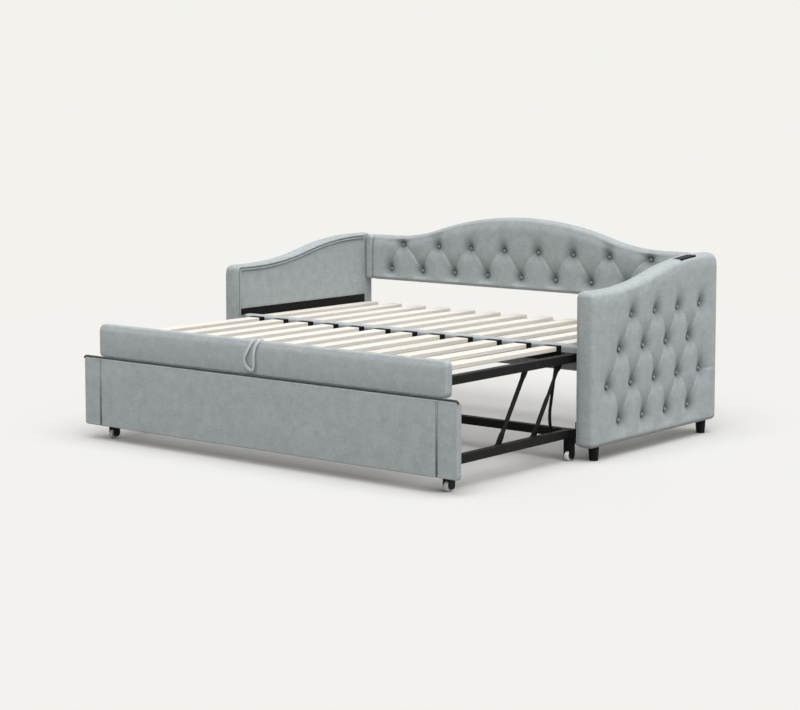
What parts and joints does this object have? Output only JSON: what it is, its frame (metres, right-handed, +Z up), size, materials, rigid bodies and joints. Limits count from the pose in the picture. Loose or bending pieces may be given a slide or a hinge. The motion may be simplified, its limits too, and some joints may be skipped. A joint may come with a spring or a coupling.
{
  "type": "trundle bed",
  "caption": "Upholstered daybed with a button-tufted camel back and arms, slatted base and a roll-out trundle whose slatted deck pops up level with it.",
  "frame": {"origin": "on the floor, in the middle of the footprint with the trundle rolled out and its deck raised", "axes": "+X along the length to the right arm, +Y to the back, +Z up"},
  "size_m": [2.088, 1.89, 0.9168],
  "materials": {
    "grey_linen": "linen-look woven upholstery",
    "grey_trim": "same cloth sewn over buttons, piping and strap",
    "dark_piping": "dark woven cord",
    "frame_wood": "unfinished board",
    "pale_slat_wood": "planed pale softwood",
    "black_steel": "black powder coat",
    "black_plastic": "fine moulded texture",
    "pale_wheel_plastic": "polished nylon",
    "pin_steel": "turned steel"
  },
  "bodies": {
    "daybed": {"left_arm_frame": "frame_wood", "right_arm_frame": "frame_wood", "left_arm_cover": "grey_linen", "right_arm_cover": "grey_linen", "left_arm_inner_panel": "grey_linen", "right_arm_inner_panel": "grey_linen", "arm_piping": "grey_trim", "arm_buttons": "grey_trim", "back_frame": "frame_wood", "back_cover": "grey_linen", "back_rear_panel": "grey_linen", "back_posts": "grey_linen", "back_buttons": "grey_trim", "front_rail_board": "frame_wood", "front_rail_cover": "grey_linen", "rear_rail": "grey_linen", "slat_ledges": "frame_wood", "daybed_slats": "pale_slat_wood", "left_side_angle": "black_steel", "right_side_angle": "black_steel", "rail_brackets": "black_steel", "feet": "black_plastic", "foot_studs": "pin_steel", "charging_socket": "black_plastic", "socket_covers": "black_plastic"},
    "trundle_base": {"lower_panel_board": "frame_wood", "lower_panel_cover": "grey_linen", "lower_panel_piping": "dark_piping", "left_base_rail": "black_steel", "right_base_rail": "black_steel", "base_front_rail": "black_steel", "base_rear_rail": "black_steel", "panel_brackets": "black_steel", "guide_plates": "black_steel", "front_caster_legs": "black_steel", "rear_caster_legs": "black_steel", "caster_axles": "pin_steel", "base_pivot_pins": "pin_steel", "stay_catches": "black_steel"},
    "front_links": {"left_front_link": "black_steel", "right_front_link": "black_steel"},
    "rear_links": {"left_rear_link": "black_steel", "right_rear_link": "black_steel"},
    "deck": {"left_deck_rail": "black_steel", "right_deck_rail": "black_steel", "deck_front_rail": "black_steel", "deck_rear_rail": "black_steel", "deck_pivot_pins": "pin_steel", "deck_slats": "pale_slat_wood", "slat_caps": "black_plastic", "upper_panel_board": "frame_wood", "upper_panel_cover": "grey_linen", "pull_strap": "grey_trim"},
    "lock_stays": {"left_lock_stay": "black_steel", "right_lock_stay": "black_steel"},
    "front_left_caster": {"front_left_wheel": "pale_wheel_plastic"},
    "front_right_caster": {"front_right_wheel": "pale_wheel_plastic"},
    "rear_left_caster": {"rear_left_wheel": "pale_wheel_plastic"},
    "rear_right_caster": {"rear_right_wheel": "pale_wheel_plastic"}
  },
  "joints": [
    {"name": "trundle_roll", "type": "slide", "parent": "daybed", "child": "trundle_base", "axis": [0, -1, 0], "range_m": [0, 0.23]},
    {"name": "front_link_swing", "type": "hinge", "parent": "trundle_base", "child": "front_links", "pos_m": [0, -0.506, 0.1155], "axis": [-1, 0, 0], "range_deg": [0, 42.6]},
    {"name": "rear_link_swing", "type": "hinge", "parent": "trundle_base", "child": "rear_links", "pos_m": [0, -0.265, 0.1155], "axis": [-1, 0, 0], "range_deg": [0, 42.6]},
    {"name": "deck_level", "type": "hinge", "parent": "front_links", "child": "deck", "pos_m": [0, -0.301, 0.4255], "axis": [1, 0, 0], "range_deg": [0, 42.6]},
    {"name": "lock_stay_swing", "type": "hinge", "parent": "deck", "child": "lock_stays", "pos_m": [0, -0.06, 0.4255], "axis": [-1, 0, 0], "range_deg": [0, 66]},
    {"name": "front_left_wheel_spin", "type": "hinge", "parent": "trundle_base", "child": "front_left_caster", "pos_m": [-0.9275, -0.869, 0.02], "axis": [1, 0, 0], "continuous": true},
    {"name": "front_right_wheel_spin", "type": "hinge", "parent": "trundle_base", "child": "front_right_caster", "pos_m": [0.9275, -0.869, 0.02], "axis": [1, 0, 0], "continuous": true},
    {"name": "rear_left_wheel_spin", "type": "hinge", "parent": "trundle_base", "child": "rear_left_caster", "pos_m": [-0.9275, -0.058, 0.02], "axis": [1, 0, 0], "continuous": true},
    {"name": "rear_right_wheel_spin", "type": "hinge", "parent": "trundle_base", "child": "rear_right_caster", "pos_m": [0.9275, -0.058, 0.02], "axis": [1, 0, 0], "continuous": true}
  ],
  "couplings": [
    {"joint": "front_link_swing", "follows": "trundle_roll", "rad_per_m": 3.2258},
    {"joint": "rear_link_swing", "follows": "trundle_roll", "rad_per_m": 3.2258},
    {"joint": "deck_level", "follows": "trundle_roll", "rad_per_m": 3.2258},
    {"joint": "lock_stay_swing", "follows": "trundle_roll", "rad_per_m": 5}
  ]
}
